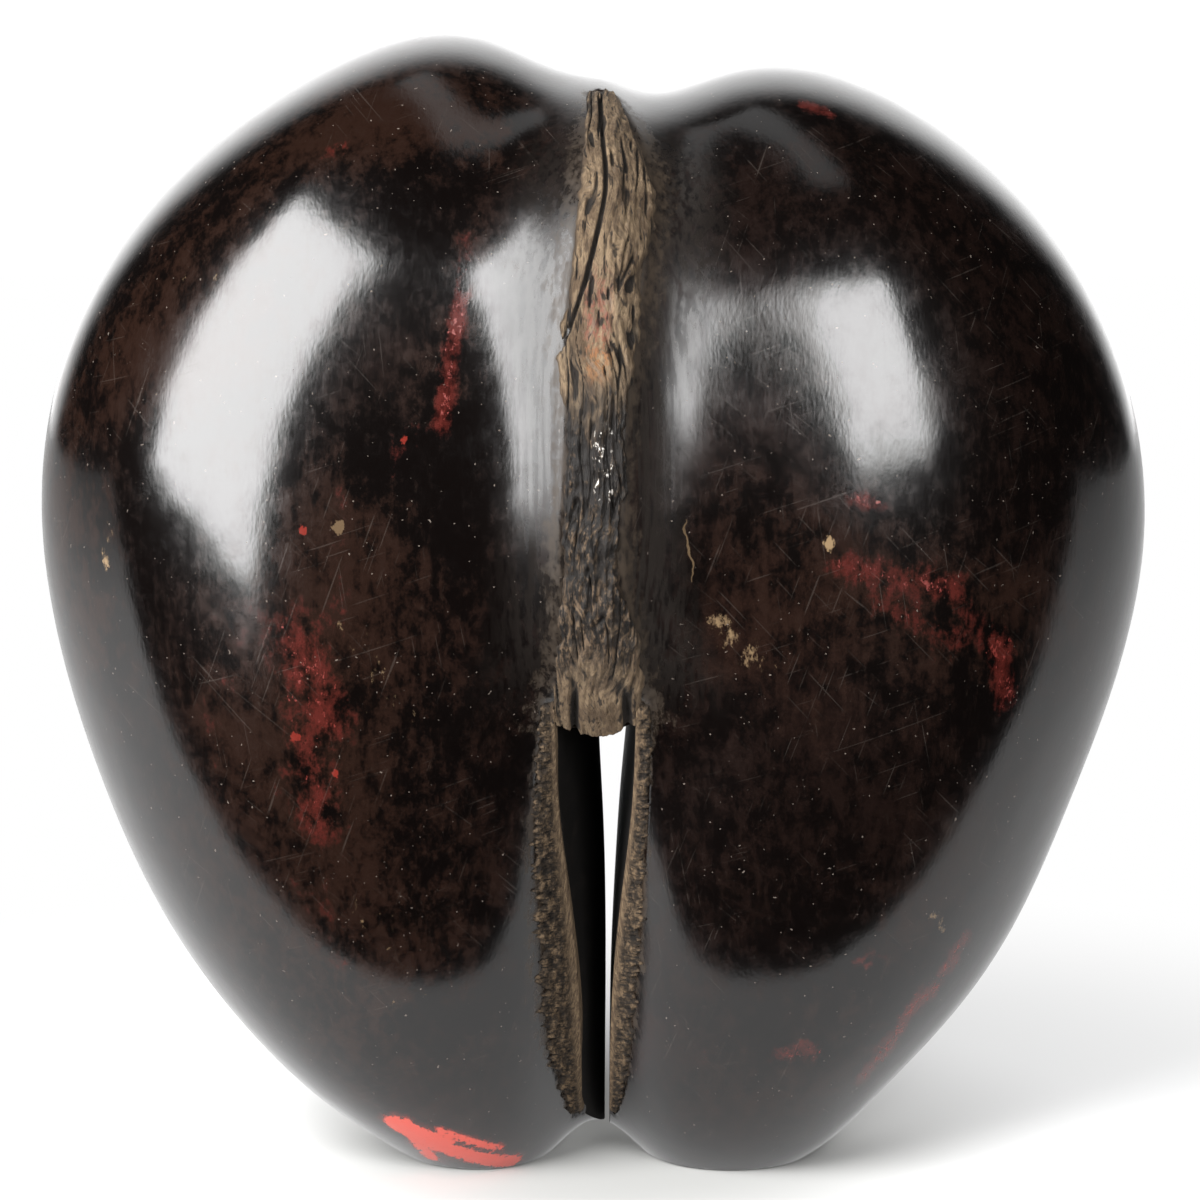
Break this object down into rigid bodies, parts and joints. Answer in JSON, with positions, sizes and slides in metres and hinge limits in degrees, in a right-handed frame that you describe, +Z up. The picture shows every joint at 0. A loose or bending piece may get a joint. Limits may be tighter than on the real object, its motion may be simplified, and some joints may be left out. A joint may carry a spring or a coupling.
{
  "type": "coco de mer nut",
  "caption": "Polished coco de mer nut, a double-lobed seed that stands on its two lobe tips, with a fibre-covered keel in front and a slit between the lobes.",
  "frame": {"origin": "centre of the bounding box, on the plane of the two feet that the nut stands on", "axes": "+Z up along the nut's height, +X to the right seen from the front, and the front, with the fibre-covered keel, faces -Y"},
  "size_m": [0.2806, 0.173, 0.2905],
  "materials": {
    "polished_shell": "hand-polished dark brown-black nutshell with a glossy wax-like sheen, worn red and ochre paint traces and rough tan husk fibre on the keel and the lips of the slit"
  },
  "bodies": {
    "root": {"nut": "polished_shell"}
  },
  "joints": []
}
